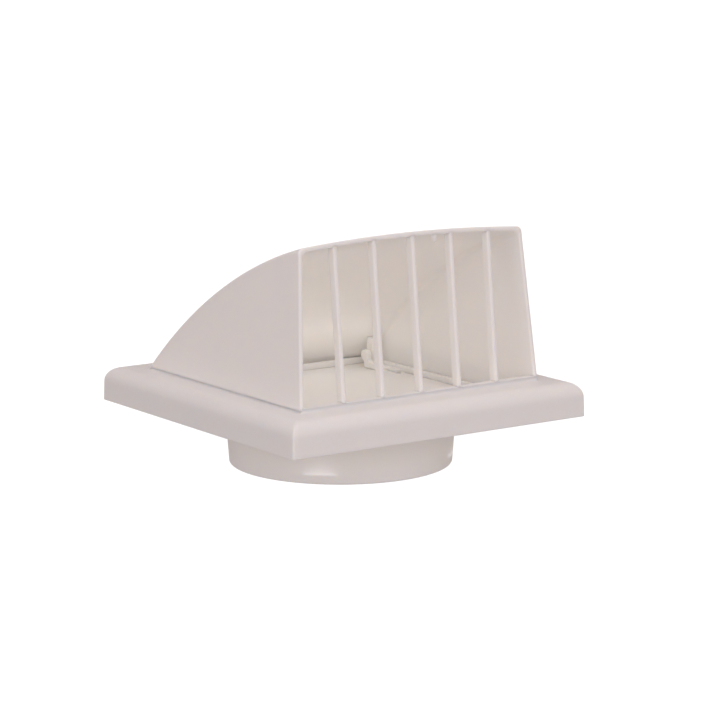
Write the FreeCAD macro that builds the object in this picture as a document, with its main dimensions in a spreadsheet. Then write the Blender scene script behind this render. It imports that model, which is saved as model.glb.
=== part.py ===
# Cowl vent for a 100 mm duct: a hooded outlet on a square flange, with a gravity flap inside.
# Millimetres, +Z up. The origin is where the duct's axis meets the mounting plane of the flange,
# the mouth faces -Y, the hood rises to +Z and the duct spigot goes down to -Z.
import FreeCAD, Part
import os
import re

import Sketcher
from FreeCAD import Placement, Rotation, Vector

doc = FreeCAD.newDocument("CowlVent")
sheet = doc.addObject("Spreadsheet::Sheet", "Sizes")

SIZES = [
    # flange cover
    ("flange_side", 152.0, "outside of the skirt at the mounting plane"),
    ("flange_height", 15.0, "mounting plane to the top of the ledge"),
    ("skirt_draft", 1.5, "degrees that the skirt leans in"),
    ("ledge_round", 6.5, "outer round between skirt and ledge"),
    ("skirt_corner", 2.2, "radius of the skirt's upright corners"),
    ("wall", 2.0, "wall of the cover moulding"),
    ("foot_round", 3.8, "hollow round between hood and ledge"),
    # hood
    ("hood_side", 124.4, "outside of the hood where it meets the ledge"),
    ("hood_lean", 3.8, "degrees that each side wall leans in"),
    ("hood_bottom", 4.2, "mounting plane to the lower edge of the hood's walls"),
    ("hood_block_top", 95.0, "top of the leaning block that the roof cuts"),
    ("hood_block_run", 110.0, "length of that block each way from the duct axis"),
    ("mouth_front", 60.5, "duct axis to the mouth plane at the ledge"),
    ("mouth_tilt", 6.0, "degrees that the mouth leans back"),
    ("roof_radius", 257.4, "roof arc seen from the side, on the centre line"),
    ("roof_axis_front", 121.9, "duct axis forward to the roof arc's centre"),
    ("roof_axis_below", 163.7, "mounting plane down to the roof arc's centre"),
    ("crown_radius", 700.0, "roof arc across the hood"),
    ("hood_edge_round", 2.6, "round between roof and side walls"),
    # grille
    ("sill_height", 2.0, "sill above the ledge"),
    ("sill_depth", 3.0, "front wall and sill, front to back"),
    ("bar_width", 2.0, "grille bar across the mouth"),
    ("bar_depth", 4.0, "grille bar front to back"),
    ("bar_pitch", 19.9, "grille bar spacing"),
    ("bar_bevel", 0.35, "bevel on a bar's front edges"),
    # back plate
    ("plate_side", 146.4, "outside of the back plate"),
    ("plate_corner", 2.0, "corner radius of the back plate"),
    ("floor_height", 4.0, "mounting plane to the vent's floor"),
    ("plate_recess", 1.5, "depth of the recess in the plate's rear"),
    ("plate_rib", 3.0, "rib left round the plate's rear edge"),
    ("duct_land", 54.0, "radius of the rib left round the duct opening"),
    ("fixing_pitch", 134.0, "spacing of the fixing holes, both ways"),
    ("fixing_radius", 2.25, "fixing hole"),
    ("boss_radius", 5.0, "boss round a fixing hole"),
    ("notch_length", 18.0, "notch in the plate's rib for a catch"),
    ("notch_depth", 2.6, "notch in from the plate's edge"),
    # locating rim on the floor, inside the hood's walls
    ("rim_across", 120.0, "outside of the rim across the vent"),
    ("rim_front", 57.9, "duct axis to the rim's front face"),
    ("rim_back", 64.4, "duct axis to the rim's back face"),
    ("rim_wall", 1.4, "rim wall"),
    ("rim_height", 3.0, "rim above the floor"),
    # duct spigot
    ("spigot_radius", 50.0, "outside of the parallel land"),
    ("spigot_nose", 49.1, "outside radius of the tip"),
    ("spigot_root", 51.0, "outside radius where the spigot passes through the plate"),
    ("spigot_bore", 47.6, "inside radius"),
    ("spigot_land", 10.0, "parallel land below the mounting plane"),
    ("spigot_length", 23.4, "spigot below the mounting plane"),
    ("spigot_tip_round", 1.0, "round on the tip's outer edge"),
    ("seat_height", 4.2, "spigot's upper rim, which the closed flap lies on"),
    # flap
    ("flap_radius", 53.0, "flap disc"),
    ("flap_behind", 2.5, "duct axis back to the disc's centre"),
    ("flap_bottom", 4.5, "mounting plane to the closed disc's underside"),
    ("flap_thickness", 1.4, "disc"),
    ("tab_across", 72.0, "squared rear of the flap, across"),
    ("tab_front", 25.0, "duct axis back to where that squared rear begins"),
    ("tab_back", 54.5, "duct axis back to the flap's rear edge"),
    ("tab_corner", 9.0, "corner radius of the squared rear"),
    ("ear_front", 27.0, "duct axis back to the front of each side ear"),
    ("ear_back", 35.0, "duct axis back to the back of each side ear"),
    ("ear_root", 38.0, "centre line out to where an ear starts inside the disc"),
    # hinge
    ("hinge_behind", 53.0, "duct axis back to the hinge line"),
    ("hinge_height", 10.0, "mounting plane to the hinge line"),
    ("pin_radius", 1.1, "hinge pin"),
    ("pin_gap", 0.06, "radial gap between a pin and its lug"),
    ("pin_end", 55.8, "centre line out to a pin's end"),
    ("arm_inner", 50.0, "centre line out to an arm's inner face"),
    ("arm_outer", 52.6, "centre line out to an arm's outer face"),
    ("arm_eye", 2.4, "eye of the arm round the hinge line"),
    ("arm_height", 2.6, "arm, from the disc's underside to its upper edge"),
    ("lug_inner", 53.2, "centre line out to a lug's inner face"),
    ("lug_outer", 56.0, "centre line out to a lug's outer face"),
    ("lug_half_depth", 2.3, "half of a lug, front to back"),
    ("lug_top", 18.0, "mounting plane to the lug's top"),
    ("lug_round", 1.1, "round on the lug's top edges"),
    # snap catches inside the skirt
    ("catch_length", 16.0, "catch along the skirt"),
    ("catch_reach", 1.7, "how far a catch stands in from the skirt"),
    ("catch_root", 73.95, "duct axis to the skirt face that a catch grows from"),
    ("catch_low", 0.3, "mounting plane to the catch's lead-in edge"),
    ("catch_high", 1.4, "mounting plane to the catch's gripping face"),
]
BAR_PLACES = (-2, -1, 0, 1, 2)
SIDES = (("left", -1), ("right", 1))
CATCH_SIDES = (("front", 0), ("right", 90), ("back", 180), ("left", 270))

size = {}
for row, (alias, value, note) in enumerate(SIZES, start=1):
    sheet.set(f"A{row}", note)
    sheet.set(f"B{row}", str(value))
    sheet.setAlias(f"B{row}", alias)
    size[alias] = value
doc.recompute()


def with_sheet(expression):
    """Writes Sizes. before every alias of the sheet that the expression names."""
    return re.sub(r"[a-z_]+", lambda m: "Sizes." * (m[0] in size) + m[0], str(expression))


def bind(item, **expressions):
    """Ties properties of an object to the sheet; a double underscore stands for a dot."""
    for name, expression in expressions.items():
        item.setExpression(name.replace("__", "."), with_sheet(expression))


def place(item, x="0", y="0", z="0", rotation=None, angle="0"):
    """Puts an object at a point, turned about an axis, with every number tied to the sheet."""
    item.Placement = Placement(Vector(), Rotation(rotation or Vector(0, 0, 1), 0))
    bind(item, Placement__Base__x=x, Placement__Base__y=y, Placement__Base__z=z)
    if rotation is not None:
        bind(item, Placement__Rotation__Angle=angle)


def box(name, length, width, height, x="0", y="0", z="0"):
    item = doc.addObject("Part::Box", name)
    bind(item, Length=length, Width=width, Height=height)
    place(item, x, y, z)
    return item


def cylinder(name, radius, height, x="0", y="0", z="0", rotation=None, angle="0"):
    item = doc.addObject("Part::Cylinder", name)
    bind(item, Radius=radius, Height=height)
    place(item, x, y, z, rotation, angle)
    return item


def boolean(kind, name, base, tool):
    item = doc.addObject("Part::" + kind, name)
    item.Base = base
    item.Tool = tool
    item.Refine = True
    return item


def fuse(name, *shapes):
    item = doc.addObject("Part::MultiFuse", name)
    item.Shapes = list(shapes)
    item.Refine = True
    return item


def round_edges(name, base, radius, chosen):
    """A Part::Fillet of the base's edges that pass the test chosen(edge)."""
    doc.recompute()
    item = doc.addObject("Part::Fillet", name)
    item.Base = base
    edges = [n for n, edge in enumerate(base.Shape.Edges, start=1) if chosen(edge)]
    item.Edges = [(n, size[radius], size[radius]) for n in edges]
    return item


def new_body(name):
    return doc.addObject("PartDesign::Body", name)


def new_sketch(body, name, role="XY_Plane"):
    sketch = body.newObject("Sketcher::SketchObject", name)
    plane = next(f for f in body.Origin.OriginFeatures if f.Role == role)
    sketch.AttachmentSupport = [(plane, "")]
    sketch.MapMode = "FlatFace"
    return sketch


def constrain(sketch, name, expression, *constraint):
    number = sketch.addConstraint(Sketcher.Constraint(*constraint))
    sketch.renameConstraint(number, name)
    sketch.setExpression("Constraints." + name, with_sheet(expression))


def polygon(sketch, name, points):
    """A closed outline through points that are pairs of expressions."""
    first = sketch.GeometryCount
    count = len(points)
    for n in range(count):
        sketch.addGeometry(Part.LineSegment(Vector(n, n * n), Vector(n + 1, (n + 1) ** 2)), False)
    for n, (across, up) in enumerate(points):
        line = first + n
        sketch.addConstraint(Sketcher.Constraint("Coincident", line, 2, first + (n + 1) % count, 1))
        constrain(sketch, f"{name}{n}_across", across, "DistanceX", -1, 1, line, 1, float(n))
        constrain(sketch, f"{name}{n}_up", up, "DistanceY", -1, 1, line, 1, float(n * n))


def rectangle(sketch, name, left, right, low, high):
    polygon(sketch, name, [(left, low), (right, low), (right, high), (left, high)])


def circle(sketch, name, radius, x="0", y="0"):
    number = sketch.addGeometry(Part.Circle(Vector(1, 1), Vector(0, 0, 1), 5.0), False)
    constrain(sketch, name + "_radius", radius, "Radius", number, 5.0)
    constrain(sketch, name + "_across", x, "DistanceX", -1, 1, number, 3, 1.0)
    constrain(sketch, name + "_up", y, "DistanceY", -1, 1, number, 3, 1.0)


def feature(body, kind, name, sketch, **expressions):
    item = body.newObject("PartDesign::" + kind, name)
    item.Profile = sketch
    bind(item, **expressions)
    body.Tip = item
    doc.recompute()
    return item


def dress(body, kind, name, radius, chosen):
    """A PartDesign Fillet or Chamfer on the tip's edges that pass the test chosen(edge)."""
    base = body.Tip
    edges = [f"Edge{n}" for n, edge in enumerate(base.Shape.Edges, start=1) if chosen(edge)]
    item = body.newObject("PartDesign::" + kind, name)
    item.Base = (base, edges)
    bind(item, **{"Radius" if kind == "Fillet" else "Size": radius})
    body.Tip = item
    doc.recompute()
    return item


def ring_pattern(body, name, original):
    """Repeats a feature four times about the body's Z axis."""
    item = body.newObject("PartDesign::PolarPattern", name)
    item.Originals = [original]
    axis = next(f for f in body.Origin.OriginFeatures if f.Role == "Z_Axis")
    item.Axis = (axis, [""])
    item.Angle = 360
    item.Occurrences = 4
    body.Tip = item
    doc.recompute()
    return item


def ends(edge):
    return edge.Vertexes[0].Point, edge.Vertexes[-1].Point


def upright(edge):
    low, high = ends(edge)
    return abs(high.z - low.z) > 0.9 * high.distanceToPoint(low) > 0


def level_at(edge, height):
    return abs(edge.BoundBox.ZMin - height) < 0.01 and abs(edge.BoundBox.ZMax - height) < 0.01


# Leaning square pans, which make the outside and the hollow of the flange cover.
def pan(name, side, height, top_round, corner):
    body = new_body(name)
    sketch = new_sketch(body, name + "_outline")
    half = f"({side}) / 2"
    rectangle(sketch, "side", f"-{half}", half, f"-{half}", half)
    pad = feature(body, "Pad", name + "_pad", sketch, Length=height, TaperAngle="-skirt_draft")
    top = pad.Shape.BoundBox.ZMax
    dress(body, "Fillet", name + "_ledge_round", top_round, lambda edge: level_at(edge, top))
    dress(body, "Fillet", name + "_corners", corner,
          lambda edge: edge.BoundBox.ZMin < 0.01 and edge.BoundBox.ZMax > 1)
    return body


# The hood's forms: a block with leaning sides, cut by a drum whose rim is the crowned roof.
def leaning_block(name, inset, low):
    body = new_body(name)
    sketch = new_sketch(body, name + "_section", "XZ_Plane")
    foot = f"(hood_side / 2 - {inset} + (flange_height - {low}) * tan(hood_lean))"
    head = f"(hood_side / 2 - {inset} - (hood_block_top - flange_height) * tan(hood_lean))"
    polygon(sketch, "section", [("-" + foot, low), (foot, low),
                                (head, "hood_block_top"), ("-" + head, "hood_block_top")])
    feature(body, "Pad", name + "_pad", sketch, Length="hood_block_run * 2")
    place(body, y="hood_block_run")
    return body


def roof_drum(name, inset):
    body = new_body(name)
    sketch = new_sketch(body, name + "_section")
    reach, rise = 90.0, 250.0
    sketch.addGeometry(Part.LineSegment(Vector(-reach, 0), Vector(reach, 0)), False)
    sketch.addGeometry(Part.LineSegment(Vector(reach, 0), Vector(reach, rise)), False)
    arc = Part.Arc(Vector(reach, rise), Vector(0, rise + 6), Vector(-reach, rise))
    sketch.addGeometry(arc, False)
    sketch.addGeometry(Part.LineSegment(Vector(-reach, rise), Vector(-reach, 0)), False)
    for rule in (("Coincident", 0, 2, 1, 1), ("Coincident", 1, 2, 2, 1),
                 ("Coincident", 2, 2, 3, 1), ("Coincident", 3, 2, 0, 1), ("Vertical", 1),
                 ("Vertical", 3), ("PointOnObject", 0, 1, -1), ("PointOnObject", 2, 3, -2),
                 ("Symmetric", 0, 1, 0, 2, -2)):
        sketch.addConstraint(Sketcher.Constraint(*rule))
    constrain(sketch, "reach", "flange_side", "DistanceX", 0, 1, 0, 2, 2 * reach)
    constrain(sketch, "crown", f"crown_radius - {inset}", "Radius", 2, 600.0)
    constrain(sketch, "centre", "roof_radius - crown_radius", "DistanceY", -1, 1, 2, 3, -400.0)
    doc.recompute()
    drum = body.newObject("PartDesign::Revolution", name + "_turn")
    drum.Profile = sketch
    drum.ReferenceAxis = (sketch, ["H_Axis"])
    drum.Angle = 360
    body.Tip = drum
    place(body, y="-roof_axis_front", z="-roof_axis_below")
    return body


def yz_prism(name, outline, length, bevel=None):
    """A prism along X, centred on x = 0, over an outline of (y, z) pairs; bevels its front."""
    body = new_body(name)
    sketch = new_sketch(body, name + "_outline", "YZ_Plane")
    polygon(sketch, "outline", outline)
    pad = feature(body, "Pad", name + "_pad", sketch, Length=length)
    pad.Midplane = True
    doc.recompute()
    if bevel:
        dress(body, "Chamfer", name + "_bevel", bevel, on_front_face)
    return body


def on_front_face(edge):
    """True for the two long edges of a bar that lie in the mouth plane."""
    low, high = sorted(ends(edge), key=lambda point: point.z)
    lean = size["mouth_tilt"] * 3.14159265 / 180
    front = -size["mouth_front"] + (low.z - size["flange_height"]) * lean
    return upright(edge) and abs(low.y - front) < 0.1


def mouth_y(height):
    """The mouth plane's y at a height, as an expression."""
    return f"(({height} - flange_height) * tan(mouth_tilt) - mouth_front)"


# Forms shared by the cover's parts.
mouth_side = yz_prism("mouth_side", [(mouth_y("0"), "0"), ("hood_block_run", "0"),
                                     ("hood_block_run", "hood_block_top"),
                                     (mouth_y("hood_block_top"), "hood_block_top")],
                      "flange_side")
outer_block = leaning_block("outer_block", "0", "hood_bottom")
inner_block = leaning_block("inner_block", "wall", "0")
sharp_hood = boolean("Common", "sharp_hood",
                     boolean("Common", "roofed_block", outer_block, roof_drum("outer_drum", "0")),
                     mouth_side)
hood_hollow = boolean("Common", "hood_hollow", inner_block, roof_drum("inner_drum", "wall"))
doc.recompute()


def roof_side_edge(edge):
    """True for the long curved edges where the roof meets a side wall."""
    span = edge.BoundBox
    return span.YLength > 60 and span.ZLength > 40 and span.XMax * span.XMin > 0


hood_form = round_edges("hood_form", sharp_hood, "hood_edge_round", roof_side_edge)

# The cover moulding: flange cover, hood, front wall with its sill, grille bars, catches.
cover_outside = fuse("cover_outside",
                     pan("flange_pan", "flange_side", "flange_height", "ledge_round",
                         "skirt_corner"),
                     hood_form)
doc.recompute()


def at_hood_foot(edge):
    """True for the edges where the hood's sides and roof meet the ledge."""
    middle = edge.BoundBox.Center
    return level_at(edge, size["flange_height"]) and (
        abs(abs(middle.x) - size["hood_side"] / 2) < 0.5 or middle.y > 50
    ) and edge.BoundBox.DiagonalLength < 130 and max(abs(middle.x), abs(middle.y)) < 64


footed_cover = round_edges("footed_cover", cover_outside, "foot_round", at_hood_foot)
flange_hollow = pan("flange_hollow", "flange_side - 2 * wall", "flange_height - wall",
                    "ledge_round - wall", "skirt_corner - wall")
hollow_cover = boolean("Cut", "hollow_cover", footed_cover, flange_hollow)
hood_inside = boolean("Common", "hood_inside", hood_hollow, mouth_side)
flange_cover = boolean("Cut", "flange_cover", hollow_cover,
                       fuse("hood_opening", hood_form, hood_inside))
hood_shell = boolean("Cut", "hood_shell", hood_form, hood_hollow)

wall_run = [("hood_bottom", "0"), ("(flange_height + sill_height)", "0")]
low, high = wall_run[0][0], wall_run[1][0]
front_wall = yz_prism("front_wall", [(mouth_y(low), low), (mouth_y(low) + " + sill_depth", low),
                                     (mouth_y(high) + " + sill_depth", high),
                                     (mouth_y(high), high)], "flange_side")
mouth_sill = boolean("Common", "mouth_sill", front_wall, hood_hollow)

grille_bars = []
for number, step in enumerate(BAR_PLACES, start=1):
    top = "hood_block_top"
    blank = yz_prism(f"bar_blank_{number}", [(mouth_y(high), high),
                                            (mouth_y(high) + " + bar_depth", high),
                                            (mouth_y(top) + " + bar_depth", top),
                                            (mouth_y(top), top)], "bar_width", "bar_bevel")
    place(blank, x=f"{step} * bar_pitch")
    grille_bars.append(boolean("Common", f"grille_bar_{number}", blank, hood_hollow))

catches = []
for side, turn in CATCH_SIDES:
    catch = yz_prism(f"cover_catch_{side}", [("-catch_root", "catch_low"),
                                             ("catch_reach - catch_root", "catch_high"),
                                             ("-catch_root", "catch_high")], "catch_length")
    place(catch, rotation=Vector(0, 0, 1), angle=str(turn))
    catches.append(catch)

# The back plate moulding: plate, locating rim, duct spigot, hinge lugs.
back_plate = new_body("back_plate")
outline = new_sketch(back_plate, "plate_outline")
rectangle(outline, "plate", "-plate_side / 2", "plate_side / 2", "-plate_side / 2",
          "plate_side / 2")
circle(outline, "duct", "spigot_root")
plate_pad = feature(back_plate, "Pad", "plate_pad", outline, Length="floor_height")
dress(back_plate, "Fillet", "plate_corners", "plate_corner", upright)
inner_edge = "(plate_side / 2 - plate_rib)"
recess = new_sketch(back_plate, "recess_outline")
rectangle(recess, "recess", f"-{inner_edge}", inner_edge, f"-{inner_edge}", inner_edge)
circle(recess, "land", "duct_land")
recess_cut = feature(back_plate, "Pocket", "plate_recess_cut", recess, Length="plate_recess")
recess_cut.Reversed = True
doc.recompute()
boss_outline = new_sketch(back_plate, "boss_outline")
circle(boss_outline, "boss", "boss_radius", "fixing_pitch / 2", "fixing_pitch / 2")
boss = feature(back_plate, "Pad", "fixing_boss", boss_outline, Length="plate_recess + 1")
ring_pattern(back_plate, "fixing_bosses", boss)
hole_outline = new_sketch(back_plate, "hole_outline")
circle(hole_outline, "hole", "fixing_radius", "fixing_pitch / 2", "fixing_pitch / 2")
hole = feature(back_plate, "Pocket", "fixing_hole", hole_outline, Length="floor_height + 1")
hole.Reversed = True
ring_pattern(back_plate, "fixing_holes", hole)
notch_outline = new_sketch(back_plate, "notch_outline")
rectangle(notch_outline, "notch", "-notch_length / 2", "notch_length / 2",
          "-plate_side / 2 - 1", "notch_depth - plate_side / 2")
notch = feature(back_plate, "Pocket", "catch_notch", notch_outline, Length="plate_recess")
notch.Reversed = True
ring_pattern(back_plate, "catch_notches", notch)

locating_rim = new_body("locating_rim")
rim_outline = new_sketch(locating_rim, "rim_outline")
rectangle(rim_outline, "outside", "-rim_across / 2", "rim_across / 2", "-rim_front", "rim_back")
rectangle(rim_outline, "inside", "rim_wall - rim_across / 2", "rim_across / 2 - rim_wall",
          "rim_wall - rim_front", "rim_back - rim_wall")
feature(locating_rim, "Pad", "rim_pad", rim_outline, Length="rim_height")
place(locating_rim, z="floor_height")

duct_spigot = new_body("duct_spigot")
profile = new_sketch(duct_spigot, "spigot_profile", "XZ_Plane")
polygon(profile, "profile", [("spigot_bore", "-spigot_length"), ("spigot_nose", "-spigot_length"),
                             ("spigot_radius", "-spigot_land"), ("spigot_radius", "0"),
                             ("spigot_root", "0"), ("spigot_root", "seat_height"),
                             ("spigot_bore", "seat_height")])
doc.recompute()
turn = duct_spigot.newObject("PartDesign::Revolution", "spigot_turn")
turn.Profile = profile
turn.ReferenceAxis = (profile, ["V_Axis"])
turn.Angle = 360
duct_spigot.Tip = turn
doc.recompute()
tip_radius = size["spigot_nose"] - 0.01
dress(duct_spigot, "Fillet", "spigot_tip", "spigot_tip_round",
      lambda edge: level_at(edge, -size["spigot_length"]) and edge.BoundBox.XMax > tip_radius)

hinge_lugs = []
for side, sign in SIDES:
    inner = "lug_inner" if sign > 0 else "-lug_outer"
    block = box(f"lug_block_{side}", "lug_outer - lug_inner", "2 * lug_half_depth",
                "lug_top - floor_height", inner, "hinge_behind - lug_half_depth", "floor_height")
    rounded = round_edges(f"lug_rounded_{side}", block, "lug_round",
                          lambda edge: level_at(edge, size["lug_top"])
                          and edge.BoundBox.XLength > 1)
    bore = cylinder(f"lug_bore_{side}", "pin_radius + pin_gap", "2 * lug_outer", "-lug_outer",
                    "hinge_behind", "hinge_height", Vector(0, 1, 0), "90")
    hinge_lugs.append(boolean("Cut", f"hinge_lug_{side}", rounded, bore))

# The flap moulding: disc with a squared rear and side ears, two arms, two hinge pins.
disc = cylinder("flap_circle", "flap_radius", "flap_thickness", "0", "flap_behind", "flap_bottom")
tab = round_edges("flap_tab", box("flap_tab_block", "tab_across", "tab_back - tab_front",
                                  "flap_thickness", "-tab_across / 2", "tab_front",
                                  "flap_bottom"), "tab_corner",
                  lambda edge: upright(edge) and edge.BoundBox.YMin > size["tab_back"] - 0.01)
ears = [box(f"flap_ear_{side}", "arm_outer - ear_root", "ear_back - ear_front", "flap_thickness",
            "ear_root" if sign > 0 else "-arm_outer", "ear_front", "flap_bottom")
        for side, sign in SIDES]
behind_tab = box("behind_tab", "tab_across", "tab_corner", "floor_height",
                 "-tab_across / 2", "tab_back", "flap_bottom - 1")
flap_disc = boolean("Cut", "flap_disc", fuse("flap_plan", disc, tab, *ears), behind_tab)

flap_arms, flap_pins = [], []
for side, sign in SIDES:
    middle = "(arm_inner + arm_outer) / 2"
    disc_top = "(flap_bottom + flap_thickness)"
    arm_top = "(flap_bottom + arm_height)"
    web = yz_prism(f"arm_web_{side}", [("ear_front", disc_top), ("ear_back", disc_top),
                                       ("ear_back", "flap_bottom"),
                                       ("hinge_behind", "flap_bottom"),
                                       ("hinge_behind", "hinge_height"),
                                       ("hinge_behind - arm_eye", "hinge_height"),
                                       ("hinge_behind - arm_eye", f"{arm_top} + arm_eye / 2"),
                                       ("hinge_behind - 1.5 * arm_eye", arm_top),
                                       ("ear_front", arm_top)],
                   "arm_outer - arm_inner")
    place(web, x=middle if sign > 0 else f"-{middle}")
    face = "arm_inner" if sign > 0 else "-arm_outer"
    eye = cylinder(f"arm_eye_{side}", "arm_eye", "arm_outer - arm_inner", face, "hinge_behind",
                   "hinge_height", Vector(0, 1, 0), "90")
    flap_arms.append(fuse(f"flap_arm_{side}", web, eye))
    start = "arm_outer" if sign > 0 else "-pin_end"
    flap_pins.append(cylinder(f"flap_pin_{side}", "pin_radius", "pin_end - arm_outer", start,
                              "hinge_behind", "hinge_height", Vector(0, 1, 0), "90"))

nodes = [flange_cover, hood_shell, mouth_sill, *grille_bars, *catches, back_plate, locating_rim,
         duct_spigot, *hinge_lugs, flap_disc, *flap_arms, *flap_pins]
doc.recompute()

for item in doc.Objects:
    if "Invalid" in item.State or "Error" in item.State:
        raise RuntimeError(f"{item.Name} did not compute: {item.State}")
for node in nodes:
    if node.Shape.isNull() or not node.Shape.isValid() or len(node.Shape.Solids) != 1:
        raise RuntimeError(f"{node.Name} is not one valid solid")

os.makedirs("parts", exist_ok=True)
for node in nodes:
    node.Label = node.Name
    node.Shape.exportStep(f"parts/{node.Label}.step")
    print(f"{node.Label}: {node.Shape.Volume:.0f} mm3")
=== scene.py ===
import math

import bmesh
import bpy
import numpy as np
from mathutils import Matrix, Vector


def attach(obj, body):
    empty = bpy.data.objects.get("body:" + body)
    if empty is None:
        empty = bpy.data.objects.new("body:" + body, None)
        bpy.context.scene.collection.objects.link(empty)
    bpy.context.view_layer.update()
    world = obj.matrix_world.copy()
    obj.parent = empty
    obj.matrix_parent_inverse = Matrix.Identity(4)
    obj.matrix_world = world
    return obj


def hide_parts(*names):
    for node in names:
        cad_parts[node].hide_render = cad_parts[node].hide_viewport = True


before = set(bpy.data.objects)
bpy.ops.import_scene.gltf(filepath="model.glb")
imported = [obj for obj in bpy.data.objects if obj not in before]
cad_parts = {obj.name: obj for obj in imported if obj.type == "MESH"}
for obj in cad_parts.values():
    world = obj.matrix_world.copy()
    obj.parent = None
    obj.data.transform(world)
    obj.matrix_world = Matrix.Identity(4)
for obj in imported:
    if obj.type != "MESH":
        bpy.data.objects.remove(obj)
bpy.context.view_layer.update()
print("frame loaded:", len(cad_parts), "nodes")

mm = 0.001


def meshFromGrid(name, grid, closeRows, closeColumns, caps=False):
    # grid is rows x columns x 3 in millimetres; rows and columns may each join up into a loop
    rows, columns = grid.shape[:2]
    index = np.arange(rows * columns).reshape(rows, columns)
    nextRow = np.roll(index, -1, axis=0) if closeRows else index[1:]
    thisRow = index if closeRows else index[:-1]
    nextRow = nextRow[: len(thisRow)]
    if closeColumns:
        a, b = thisRow, nextRow
        c, d = np.roll(nextRow, -1, axis=1), np.roll(thisRow, -1, axis=1)
    else:
        a, b = thisRow[:, :-1], nextRow[:, :-1]
        c, d = nextRow[:, 1:], thisRow[:, 1:]
    faces = np.stack([a, b, c, d], axis=-1).reshape(-1, 4).tolist()
    if caps:
        faces += [index[0].tolist(), index[-1][::-1].tolist()]
    mesh = bpy.data.meshes.new(name)
    mesh.from_pydata((grid.reshape(-1, 3) * mm).tolist(), [], faces)
    return finishMesh(name, mesh)


def finishMesh(name, mesh, smoothAngle=35):
    # welds doubles, turns every normal outwards and shades smooth up to an angle
    work = bmesh.new()
    work.from_mesh(mesh)
    bmesh.ops.remove_doubles(work, verts=work.verts, dist=2e-6)
    bmesh.ops.dissolve_degenerate(work, edges=work.edges, dist=1e-6)
    bmesh.ops.recalc_face_normals(work, faces=work.faces)
    sharp = math.radians(smoothAngle)
    for face in work.faces:
        face.smooth = True
    for edge in work.edges:
        edge.smooth = edge.calc_face_angle(0.0) < sharp
    work.to_mesh(mesh)
    work.free()
    mesh.update()
    piece = bpy.data.objects.new(name, mesh)
    bpy.context.scene.collection.objects.link(piece)
    return piece


def place(piece, node, body, material):
    # node is one CAD node or several that the piece stands for
    nodes = [node] if isinstance(node, str) else node
    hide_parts(*nodes)
    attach(piece, body)
    piece.data.materials.clear()
    piece.data.materials.append(material)
    return piece


def mouldedPlastic(name, colour, roughness, grain, mottle):
    # moulded plastic: cloudy tint, uneven gloss, fine eroded-steel grain and a faint sink wave
    material = bpy.data.materials.new(name)
    material.use_nodes = True
    nodes, links = material.node_tree.nodes, material.node_tree.links
    nodes.clear()
    output = nodes.new("ShaderNodeOutputMaterial")
    shader = nodes.new("ShaderNodeBsdfPrincipled")
    links.new(shader.outputs["BSDF"], output.inputs["Surface"])
    shader.inputs["IOR"].default_value = 1.49
    shader.inputs["Subsurface Weight"].default_value = 1.0
    shader.inputs["Subsurface Radius"].default_value = (1.0, 0.9, 0.78)
    shader.inputs["Subsurface Scale"].default_value = 0.0018
    place3d = nodes.new("ShaderNodeTexCoord")

    def noise(scale, detail, rough=0.5, distortion=0.0):
        item = nodes.new("ShaderNodeTexNoise")
        item.inputs["Scale"].default_value = scale
        item.inputs["Detail"].default_value = detail
        item.inputs["Roughness"].default_value = rough
        item.inputs["Distortion"].default_value = distortion
        links.new(place3d.outputs["Object"], item.inputs["Vector"])
        return item.outputs["Fac"]

    def ramp(source, low, high, first, second):
        item = nodes.new("ShaderNodeMapRange")
        item.inputs["From Min"].default_value = low
        item.inputs["From Max"].default_value = high
        item.inputs["To Min"].default_value = first
        item.inputs["To Max"].default_value = second
        links.new(source, item.inputs["Value"])
        return item.outputs["Result"]

    cloud = ramp(noise(26, 3, 0.55, 0.4), 0.3, 0.7, 0.0, 1.0)
    tint = nodes.new("ShaderNodeMix")
    tint.data_type = "RGBA"
    tint.inputs["A"].default_value = (*[c * (1 - mottle) for c in colour], 1)
    tint.inputs["B"].default_value = (*[min(1, c * (1 + mottle)) for c in colour], 1)
    links.new(cloud, tint.inputs["Factor"])

    links.new(tint.outputs["Result"], shader.inputs["Base Color"])

    gloss = ramp(noise(60, 4, 0.6, 0.3), 0.3, 0.7, roughness - 0.05, roughness + 0.05)
    links.new(gloss, shader.inputs["Roughness"])

    fine = nodes.new("ShaderNodeBump")
    fine.inputs["Strength"].default_value = grain
    fine.inputs["Distance"].default_value = 0.00004
    links.new(noise(2200, 2, 0.6), fine.inputs["Height"])
    wave = nodes.new("ShaderNodeBump")
    wave.inputs["Strength"].default_value = 0.12
    wave.inputs["Distance"].default_value = 0.0004
    links.new(noise(70, 2, 0.4), wave.inputs["Height"])
    links.new(fine.outputs["Normal"], wave.inputs["Normal"])
    links.new(wave.outputs["Normal"], shader.inputs["Normal"])
    return material


finishes = {
    "coverColour": (0.957, 0.947, 0.932),
    "plateColour": (0.952, 0.938, 0.915),
    "flapColour": (0.96, 0.95, 0.93),
}
coverPlastic = mouldedPlastic("coverPlastic", finishes["coverColour"], 0.36, 0.35, 0.012)
platePlastic = mouldedPlastic("platePlastic", finishes["plateColour"], 0.42, 0.45, 0.016)
flapPlastic = mouldedPlastic("flapPlastic", finishes["flapColour"], 0.38, 0.4, 0.014)
print("materials made")


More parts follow.
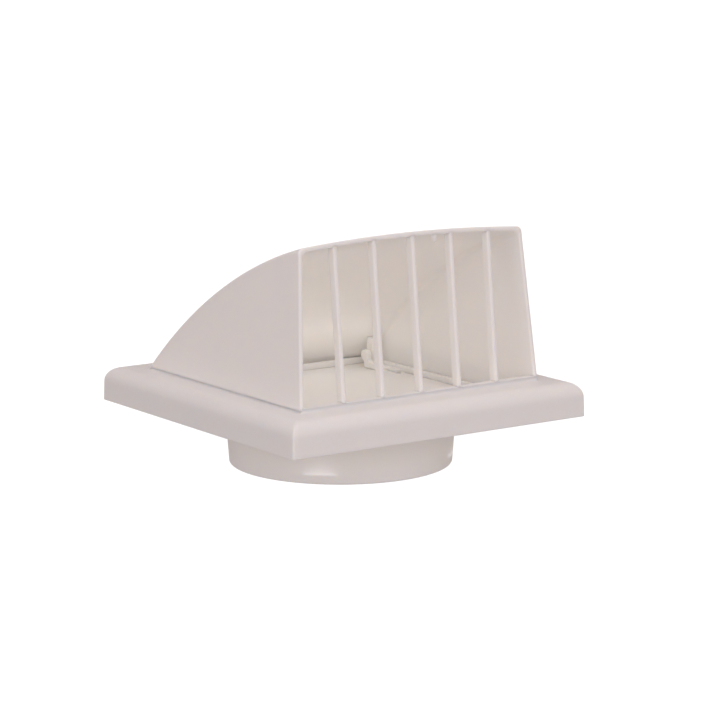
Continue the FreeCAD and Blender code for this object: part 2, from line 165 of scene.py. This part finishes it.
cowl = {
    "halfWidth": 62.2,  # at the ledge
    "lean": math.tan(math.radians(3.8)),
    "ledge": 15.0,
    "bottom": 4.25,
    "mouthFront": 60.5,
    "mouthLean": math.tan(math.radians(6.0)),
    "roofRadius": 257.4,
    "crownRadius": 700.0,
    "axisFront": 121.9,
    "axisBelow": 163.7,
    "wall": 2.0,
    "cornerRound": 2.6,  # at the mouth; it tightens towards the back
    "cornerBack": 0.9,
    "cornerFade": 14.0,
    "innerRound": 3.2,
    "lipRound": 0.8,
    "crownReach": 58.0,  # half the width over which the crown is followed
    "sideStop": 3.0,  # how far above the bottom the rear edge ends at the sides
    "sideDrop": 2.9,  # and how much of that it gives back across the middle
}


def wallX(z, inset):
    # side wall: half width less the lean times the height above the ledge
    return cowl["halfWidth"] - inset - cowl["lean"] * (z - cowl["ledge"])


def roofZ(x, y, inset):
    # roof: a drum about a line along X, its radius crowned across the cowl by a wide arc
    crown = cowl["crownRadius"] - inset
    radius = cowl["roofRadius"] - cowl["crownRadius"] + np.sqrt(crown**2 - x**2)
    under = np.maximum(radius**2 - (y + cowl["axisFront"]) ** 2, 1.0)
    return np.sqrt(under) - cowl["axisBelow"]


def mouthY(z):
    # the mouth plane leans back as it rises
    return (z - cowl["ledge"]) * cowl["mouthLean"] - cowl["mouthFront"]


def sectionPoint(kind, t, y, inset):
    # across the cowl at one y: kind 0 climbs the wall, 1 turns the corner, 2 runs to the middle
    low = cowl["bottom"]
    fade = np.exp(-np.maximum(y + cowl["mouthFront"] - 6.0, 0) / cowl["cornerFade"])
    outerTurn = cowl["cornerBack"] + (cowl["cornerRound"] - cowl["cornerBack"]) * fade
    turn = outerTurn + (cowl["innerRound"] - outerTurn) * inset / cowl["wall"]
    start = math.atan(cowl["lean"])
    centreX = wallX(60.0, inset) - turn + 0 * y
    centreZ = roofZ(centreX, y, inset) - turn
    for _ in range(5):
        slope = (roofZ(centreX + 1, y, inset) - roofZ(centreX - 1, y, inset)) / 2
        stop = np.pi / 2 - np.arctan(-slope)
        centreZ = roofZ(centreX + turn * np.cos(stop), y, inset) - turn * np.sin(stop)
        centreZ = np.maximum(centreZ, low)
        centreX = wallX(centreZ, inset) - turn * math.hypot(1, cowl["lean"])
    wallTop = centreZ + turn * math.sin(start)
    climbZ = low + t * (wallTop - low)
    angle = start + t * (stop - start)
    edgeX = centreX + turn * np.cos(stop)
    runX = edgeX * (1 - t)
    x = np.where(kind == 0, wallX(climbZ, inset),
                 np.where(kind == 1, centreX + turn * np.cos(angle), runX))
    z = np.where(kind == 0, climbZ,
                 np.where(kind == 1, centreZ + turn * np.sin(angle), roofZ(runX, y, inset)))
    return x, z


def cowlShell():
    # rows run over the outside to the mouth, round its lip, and back along the inside
    climb, turn, run = 30, 8, 44
    kind = np.concatenate([np.zeros(climb), np.ones(turn), np.full(run, 2)])
    t = np.concatenate([np.linspace(0, 1, climb), np.linspace(0, 1, turn + 2)[1:-1],
                        np.linspace(0, 1, run)])
    kind, t = kind[None, :], t[None, :]
    back = np.linspace(0, 1, 70) ** 1.15
    r, wall = cowl["lipRound"], cowl["wall"]
    bend = np.linspace(0, np.pi / 2, 6)[1:]
    outside = [(0.0, r, f) for f in back[::-1]]
    lip = [(r * (1 - math.cos(a)), r * (1 - math.sin(a)), 0.0) for a in bend]
    lip += [(wall - inset, behind, 0.0) for inset, behind, _ in lip[::-1]]
    inside = [(wall, r, f) for f in back]
    rows = np.array(outside + lip + inside)
    inset, behind, along = (rows[:, i:i + 1] for i in range(3))
    z = np.full((len(rows), kind.shape[1]), 50.0)
    # each column runs down its own part of the roof: to the bottom, but less far at the sides
    reach = cowl["crownReach"]
    crossX = np.where(kind == 2, reach * (1 - t), reach)
    settle = np.where(kind == 2, np.minimum(t * 8, 1), 0.0)
    drop = cowl["sideDrop"] * settle**2 * (3 - 2 * settle)
    rear = cowl["bottom"] + cowl["sideStop"] - drop + cowl["axisBelow"]
    edgeRadius = cowl["roofRadius"] - cowl["crownRadius"] - inset + np.sqrt(
        cowl["crownRadius"] ** 2 - crossX**2)
    backY = np.sqrt(edgeRadius**2 - rear**2) - cowl["axisFront"]
    for _ in range(6):
        y = (1 - along) * (mouthY(z) + behind) + along * backY
        x, z = sectionPoint(kind, t, y, inset)
    half = np.stack([x, y + 0 * x, z], axis=-1)
    mirrored = half[:, ::-1][:, 1:] * np.array([-1, 1, 1])
    grid = np.concatenate([half, mirrored], axis=1)
    # the trimmed flash along the lip's inner edge wanders a little near the gate
    rows, columns = grid.shape[:2]
    lipStart = len(outside)
    near = np.exp(-((grid[..., 0] + 6.5) / 7.0) ** 4) * (grid[..., 2] > 70)
    ragged = 0.34 * np.sin(grid[..., 0] * 1.9) * np.sin(grid[..., 0] * 0.71 + 1) + 0.3
    fade = np.zeros((rows, 1))
    fade[lipStart + 5:lipStart + 14, 0] = np.linspace(1, 0.1, 9)
    grid[..., 2] -= near * ragged * fade
    count = len(back)
    index = np.arange(rows * columns).reshape(rows, columns)
    a, b, c, d = index[:-1, :-1], index[1:, :-1], index[1:, 1:], index[:-1, 1:]
    faces = np.stack([a, b, c, d], axis=-1).reshape(-1, 4).tolist()
    # the lower edges and the back edge join the outside to the inside
    for column in (0, columns - 1):
        outer, inner = index[:count, column], index[::-1][:count, column]
        faces += np.stack([outer[:-1], outer[1:], inner[1:], inner[:-1]], axis=-1).tolist()
        faces.append(index[count - 1:rows - count + 1, column].tolist())
    outer, inner = index[0], index[-1]
    faces += np.stack([outer[:-1], outer[1:], inner[1:], inner[:-1]], axis=-1).tolist()
    mesh = bpy.data.meshes.new("cowlShell")
    mesh.from_pydata((grid.reshape(-1, 3) * mm).tolist(), [], faces)
    return finishMesh("cowlShell", mesh)


place(cowlShell(), "hood_shell", "housing", coverPlastic)
print("cowl made")


flange = {
    "halfSide": 76.0,
    "draft": math.tan(math.radians(1.5)),
    "edgeRound": 6.5,
    "corner": 0.9,
    "innerCorner": 1.2,
    "wall": 2.0,
    "footRound": 1.0,
    "frontFoot": 1.5,
    "bottomRound": 0.35,
}


def flangeRings():
    # each ring is the reach of the front, side and back edges with their heights, corner radii
    # and whether the back edge bows with the roof
    rings = []
    half, draft, ledge = flange["halfSide"], flange["draft"], cowl["ledge"]
    soft, bend = flange["bottomRound"], np.linspace(0, np.pi / 2, 5)

    def square(reach, z, corner):
        rings.append((reach, z, reach, z, reach, z, corner, corner, 0.0))

    for a in bend:
        square(half - soft + soft * math.sin(a), soft - soft * math.cos(a), flange["corner"])
    for z in np.linspace(soft, ledge - flange["edgeRound"], 6)[1:-1]:
        square(half - draft * z, z, flange["corner"])
    r = flange["edgeRound"]
    centre = half - draft * (ledge - r) - r * math.hypot(1, draft)
    for a in np.linspace(math.atan(draft), np.pi / 2, 18):
        square(centre + r * math.cos(a), ledge - r + r * math.sin(a), flange["corner"])
    # ledge to the cowl: a hollow round on the sides and back, a small one under the mouth
    r, small = flange["footRound"], flange["frontFoot"]
    sideCentre = cowl["halfWidth"] - cowl["lean"] * r + r * math.hypot(1, cowl["lean"])
    sideStop = np.pi / 2 - math.atan(cowl["lean"])
    rise = ledge + cowl["axisBelow"]
    roofSlope = math.atan2(math.sqrt(cowl["roofRadius"] ** 2 - rise**2), rise)
    for t in np.linspace(0, 1, 14):
        side, rear, front = t * sideStop, t * roofSlope, t * np.pi / 2
        rings.append((
            cowl["mouthFront"] + small * (1 - math.sin(front)),
            ledge + small * (1 - math.cos(front)),
            sideCentre - r * math.sin(side), ledge + r * (1 - math.cos(side)),
            r * math.tan(roofSlope / 2) - r * math.sin(rear), ledge + r * (1 - math.cos(rear)),
            0.6 + 3.0 * (1 - t), 2.6 + 2.0 * (1 - t), 1.0))
    rings.append((cowl["mouthFront"] - 1.2, ledge + small, sideCentre - r - 1.2,
                  ledge + r - 0.4, -3.5, ledge + 1.0, 0.4, 2.0, 1.0))
    inner = ledge - flange["wall"]
    rings.append((cowl["mouthFront"] - 0.6, inner, cowl["halfWidth"] - 1.0, inner,
                  1.0, inner, 0.4, 2.0, 1.0))
    # under the ledge and down the inside of the skirt
    r = flange["edgeRound"] - flange["wall"]
    reach = half - flange["wall"]
    centre = reach - draft * (inner - r) - r * math.hypot(1, draft)
    for a in np.linspace(np.pi / 2, math.atan(draft), 9):
        square(centre + r * math.cos(a), inner - r + r * math.sin(a), flange["innerCorner"])
    for z in np.linspace(inner - r, soft, 4)[1:]:
        square(reach - draft * z, z, flange["innerCorner"])
    for a in bend[1:]:
        square(reach + soft * (1 - math.cos(a)), soft - soft * math.sin(a),
               flange["innerCorner"])
    return rings


def ringCurve(front, frontZ, side, sideZ, back, backZ, frontCorner, backCorner, bowed):
    # a rounded rectangle, anticlockwise from the front left; each corner blends its two heights
    perSide, perCorner = 40, 10
    edgeX = np.linspace(1, -1, perSide) * (side - backCorner)
    if bowed:
        crown = np.sqrt(cowl["crownRadius"] ** 2 - np.minimum(abs(edgeX), cowl["crownReach"]) ** 2)
        radius = cowl["roofRadius"] - cowl["crownRadius"] + crown
        foot = np.sqrt(radius**2 - (cowl["ledge"] + cowl["axisBelow"]) ** 2) - cowl["axisFront"]
        backLine = foot + back
        backCornerY = backLine[0]
    else:
        backLine = np.full(perSide, back)
        backCornerY = back
    points = []
    x = np.linspace(-1, 1, perSide) * (side - frontCorner)
    points.append(np.stack([x, np.full(perSide, -front), np.full(perSide, frontZ)], -1))
    a = np.linspace(0, np.pi / 2, perCorner + 2)[1:-1]
    share = np.sin(a) ** 2
    points.append(np.stack([side - frontCorner + frontCorner * np.sin(a),
                            -front + frontCorner - frontCorner * np.cos(a),
                            frontZ + (sideZ - frontZ) * share], -1))
    y = np.linspace(-front + frontCorner, backCornerY - backCorner, perSide)
    points.append(np.stack([np.full(perSide, side), y, np.full(perSide, sideZ)], -1))
    points.append(np.stack([side - backCorner + backCorner * np.cos(a),
                            backCornerY - backCorner + backCorner * np.sin(a),
                            sideZ + (backZ - sideZ) * share], -1))
    points.append(np.stack([edgeX, backLine, np.full(perSide, backZ)], -1))
    flip = np.array([-1, 1, 1])
    points += [points[3][::-1] * flip, points[2][::-1] * flip, points[1][::-1] * flip]
    return np.concatenate(points)


def flangeCover():
    grid = np.stack([ringCurve(*ring) for ring in flangeRings()])
    return meshFromGrid("flangeCover", grid, closeRows=True, closeColumns=True)


place(flangeCover(), "flange_cover", "housing", coverPlastic)
print("flange made")


grille = {
    "sillHeight": 2.0,
    "sillDepth": 3.0,
    "sillRound": 0.5,
    "sillReach": 61.4,
    "barWidth": 2.0,
    "barDepth": 4.0,
    "barFrontRound": 0.6,
    "barBackRound": 0.3,
    "barPitch": 19.9,
}


def roundedProfile(width, depth, frontRound, backRound, steps=5):
    # a rectangle centred on u with v from 0 to depth, its four corners rounded
    corners = [(-width / 2, 0, frontRound, math.pi), (width / 2, 0, frontRound, 1.5 * math.pi),
               (width / 2, depth, backRound, 0.0), (-width / 2, depth, backRound, 0.5 * math.pi)]
    points = []
    for u, v, r, first in corners:
        a = first + np.linspace(0, np.pi / 2, steps)
        middleU, middleV = u - math.copysign(r, u), v + (r if v == 0 else -r)
        points.append(np.stack([middleU + r * np.cos(a), middleV + r * np.sin(a)], -1))
    return np.concatenate(points)


def frontSill():
    # the profile in Y and Z is carried straight across the mouth, into both side walls
    height = cowl["ledge"] + grille["sillHeight"] - cowl["bottom"]
    profile = roundedProfile(height, grille["sillDepth"], grille["sillRound"], 0.3)
    z = cowl["bottom"] + height / 2 - profile[:, 0]
    y = mouthY(z) - 0.02 + profile[:, 1]
    x = np.linspace(-1, 1, 25) * grille["sillReach"]
    low = x[:, None] + 0 * z[None, :]
    grid = np.stack([low, 0 * low + y, 0 * low + z], axis=-1)
    return meshFromGrid("frontSill", grid, False, True, caps=True)


def grilleBar(name, middle):
    # the profile is carried up the leaning mouth plane, from inside the sill into the roof
    profile = roundedProfile(grille["barWidth"], grille["barDepth"], grille["barFrontRound"],
                             grille["barBackRound"])
    foot = cowl["ledge"] + grille["sillHeight"] - 0.5
    x = middle + profile[:, 0]
    rise = np.linspace(0, 1, 22)[:, None]
    top = np.full(len(profile), 80.0)
    for _ in range(4):
        top = roofZ(x, mouthY(top) + 0.05 + profile[:, 1], cowl["wall"]) + 0.9
    z = foot + rise * (top - foot)
    y = mouthY(z) + 0.05 + profile[:, 1]
    return meshFromGrid(name, np.stack([x + 0 * z, y, z], axis=-1), False, True, caps=True)


place(frontSill(), "mouth_sill", "housing", coverPlastic)
for number, step in enumerate((-2, -1, 0, 1, 2), start=1):
    bar = grilleBar(f"grilleBar{number}", step * grille["barPitch"])
    place(bar, f"grille_bar_{number}", "housing", coverPlastic)
print("sill and bars made")


gate = {"middle": 11.6, "width": 2.6, "length": 4.4, "depth": 1.5, "sunk": 1.4}


def gateMark():
    # a torn nub: an egg drawn down from the lip's inner edge, its radius roughened by waves
    around = np.linspace(0, 2 * np.pi, 36, endpoint=False)[None, :]
    down = np.linspace(0.02, 0.98, 24)[:, None] * np.pi
    rough = 1 + 0.16 * np.sin(3 * around + 4 * down) + 0.12 * np.sin(7 * around - 5 * down + 1)
    reach = np.sin(down) ** 0.8 * rough
    x = gate["middle"] + gate["width"] / 2 * reach * np.cos(around) * (1 + 0.3 * np.cos(down))
    drop = gate["length"] / 2 * np.cos(down) * (1 + 0.12 * np.sin(2 * around))
    top = roofZ(gate["middle"], mouthY(80.0), cowl["wall"])
    z = top - gate["sunk"] + drop - 0.3 * np.cos(around)
    y = mouthY(top) + 1.0 + gate["depth"] / 2 * reach * np.sin(around)
    return meshFromGrid("gateMark", np.stack([x, y + 0 * z, z], axis=-1), False, True, caps=True)


nub = gateMark()
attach(nub, "housing")
nub.data.materials.append(coverPlastic)


spigot = {
    "bore": 47.6,
    "boreDraft": 0.25,
    "outside": 50.0,
    "nose": 49.1,
    "root": 51.0,
    "land": 10.0,
    "length": 23.4,
    "seat": 4.2,
    "tipRound": 1.0,
    "lipRound": 0.4,
}


def arcPoints(r, z, radius, first, last, steps=7):
    a = np.radians(np.linspace(first, last, steps))
    return list(zip(r + radius * np.cos(a), z + radius * np.sin(a)))


def ductSpigot():
    # a profile of radius and height is turned about the duct's axis
    s = spigot
    tip, lip = s["tipRound"], s["lipRound"]
    profile = arcPoints(s["bore"] + s["boreDraft"] + lip, -s["length"] + lip, lip, 180, 270)
    profile += arcPoints(s["nose"] - tip, -s["length"] + tip, tip, 270, 358)
    profile += [(s["outside"] - 0.45, -s["land"] - 6.7), (s["outside"] - 0.02, -s["land"] - 0.4),
                (s["outside"], -s["land"]), (s["outside"], -5.0), (s["outside"], 0.0),
                (s["root"], 0.0), (s["root"], s["seat"] - 0.2)]
    profile += arcPoints(s["root"] - 0.3, s["seat"] - 0.3, 0.3, 0, 90, 4)
    profile += arcPoints(s["bore"] + lip, s["seat"] - lip, lip, 90, 180)
    profile += [(s["bore"] + s["boreDraft"] * t, s["seat"] - lip - 26.0 * t) for t in (0.3, 0.6)]
    profile = np.array(profile)
    a = np.linspace(0, 2 * np.pi, 224, endpoint=False)
    r, z = profile[:, 0:1], profile[:, 1:2]
    grid = np.stack([r * np.cos(a), r * np.sin(a), z + 0 * a], axis=-1)
    return meshFromGrid("ductSpigot", grid, closeRows=True, closeColumns=True)


place(ductSpigot(), "duct_spigot", "housing", platePlastic)
print("spigot made")


def softened(node, body, material, width=0.3, segments=2):
    # a welded copy of the solid with its sharp edges broken by a small round
    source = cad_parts[node]
    mesh = source.data.copy()
    mesh.name = node + "Soft"
    parts = node.split("_")
    piece = finishMesh(parts[0] + "".join(p.capitalize() for p in parts[1:]), mesh, 30)
    bevel = piece.modifiers.new("softEdges", "BEVEL")
    bevel.width = width * mm
    bevel.segments = segments
    bevel.limit_method = "ANGLE"
    bevel.angle_limit = math.radians(30)
    bevel.harden_normals = True
    bevel.use_clamp_overlap = True
    return place(piece, node, body, material)


for node in ("back_plate", "locating_rim", "hinge_lug_left", "hinge_lug_right"):
    softened(node, "housing", platePlastic)
for side in ("front", "right", "back", "left"):
    softened(f"cover_catch_{side}", "housing", coverPlastic, 0.1, 1)
for node in ("flap_disc", "flap_arm_left", "flap_arm_right", "flap_pin_left", "flap_pin_right"):
    softened(node, "flap", flapPlastic, 0.25)
print("plate and flap made")


studio = {
    "floorLevel": -23.4 * mm,
    "floorGlow": 0.99,
    "worldStrength": 0.44,
    "worldColour": (1.0, 0.89, 0.865),
    "cameraAt": (-0.70231, -1.01147, 0.25454),
    "turn": 35.169,
    "drop": 10.725,
    "lens": 143.16,
}


def studioFloor():
    mesh = bpy.data.meshes.new("studioFloor")
    reach = 30.0
    corners = [(-reach, -reach, 0), (reach, -reach, 0), (reach, reach, 0), (-reach, reach, 0)]
    mesh.from_pydata([(x, y, studio["floorLevel"]) for x, y, _ in corners], [], [(0, 1, 2, 3)])
    floor = bpy.data.objects.new("studioFloor", mesh)
    bpy.context.scene.collection.objects.link(floor)
    material = bpy.data.materials.new("litPaper")
    material.use_nodes = True
    shader = material.node_tree.nodes["Principled BSDF"]
    shader.inputs["Base Color"].default_value = (0.25, 0.25, 0.25, 1)
    shader.inputs["Roughness"].default_value = 0.9
    shader.inputs["Specular IOR Level"].default_value = 0.1
    shader.inputs["Emission Color"].default_value = (1, 1, 1, 1)
    shader.inputs["Emission Strength"].default_value = studio["floorGlow"]
    mesh.materials.append(material)
    floor.visible_diffuse = False  # the tent of light, not the paper, lights the cowl
    floor.visible_glossy = False


def softLight(name, at, aim, size, power, colour, seen=True):
    light = bpy.data.lights.new(name, "AREA")
    light.shape = "RECTANGLE"
    light.size, light.size_y = size
    light.energy = power
    light.color = colour
    item = bpy.data.objects.new(name, light)
    item.location = at
    item.rotation_euler = (Vector(aim) - Vector(at)).to_track_quat("-Z", "Y").to_euler()
    item.visible_camera = seen
    bpy.context.scene.collection.objects.link(item)


glow = {"count": 7, "pitch": 0.0155, "power": 0.00048, "size": 0.009}


def smallGlow(name, at, power):
    # a hidden bead of light inside the cowl, one of a row along its rear
    light = bpy.data.lights.new(name, "POINT")
    light.shadow_soft_size = glow["size"]
    light.energy = power
    light.color = (1, 0.98, 0.93)
    item = bpy.data.objects.new(name, light)
    item.location = at
    item.visible_camera = False
    bpy.context.scene.collection.objects.link(item)


def studioCamera():
    turn, drop = math.radians(studio["turn"]), math.radians(studio["drop"])
    look = Vector((math.sin(turn) * math.cos(drop), math.cos(turn) * math.cos(drop),
                   -math.sin(drop)))
    data = bpy.data.cameras.new("studioCamera")
    data.lens = studio["lens"]
    data.sensor_width = 36
    data.clip_start, data.clip_end = 0.02, 100
    camera = bpy.data.objects.new("studioCamera", data)
    camera.location = studio["cameraAt"]
    camera.rotation_euler = look.to_track_quat("-Z", "Y").to_euler()
    bpy.context.scene.collection.objects.link(camera)
    bpy.context.scene.camera = camera


def lightTent():
    # an even tinted light on the cowl, and plain white where the camera looks past the paper
    world = bpy.data.worlds.new("lightTent")
    world.use_nodes = True
    nodes, links = world.node_tree.nodes, world.node_tree.links
    even = nodes["Background"]
    even.inputs["Color"].default_value = (*studio["worldColour"], 1)
    even.inputs["Strength"].default_value = studio["worldStrength"]
    white = nodes.new("ShaderNodeBackground")
    white.inputs["Color"].default_value = (1, 1, 1, 1)
    seen = nodes.new("ShaderNodeLightPath")
    both = nodes.new("ShaderNodeMixShader")
    links.new(seen.outputs["Is Camera Ray"], both.inputs["Fac"])
    links.new(even.outputs["Background"], both.inputs[1])
    links.new(white.outputs["Background"], both.inputs[2])
    links.new(both.outputs["Shader"], nodes["World Output"].inputs["Surface"])
    bpy.context.scene.world = world


studioFloor()
lightTent()
softLight("topLight", (-0.2, -0.3, 1.5), (0, 0, 0.03), (1.6, 1.6), 6.1, (1.0, 0.885, 0.855))
softLight("sideLight", (-1.25, -1.0, 0.4), (0, 0, 0.03), (1.6, 1.2), 5.3, (1.0, 0.95, 0.96))
softLight("frontLight", (0.0, -1.6, 0.6), (0, 0, 0.03), (1.4, 1.2), 3.9, (1.0, 0.92, 0.91))
# hidden lights that lift the tone of the inside
softLight("mouthFill", (0.0, -0.048, 0.05), (0, 0.03, 0.022), (0.10, 0.045), 0.0016,
          (1, 1, 1), False)
for number in range(glow["count"]):
    x = (number - (glow["count"] - 1) // 2) * glow["pitch"]
    smallGlow(f"rearGlow{number + 1}", (x, 0.045, 0.019), glow["power"])
softLight("ductFill", (0.0, 0.0, -0.02), (0, 0.001, 0.03), (0.08, 0.08), 0.008, (1, 1, 1), False)
studioCamera()
bpy.context.scene.view_settings.view_transform = "Standard"
bpy.context.scene.cycles.diffuse_bounces = 16  # light crosses the pale cowl many times
bpy.context.scene.cycles.max_bounces = 20
print("studio made")
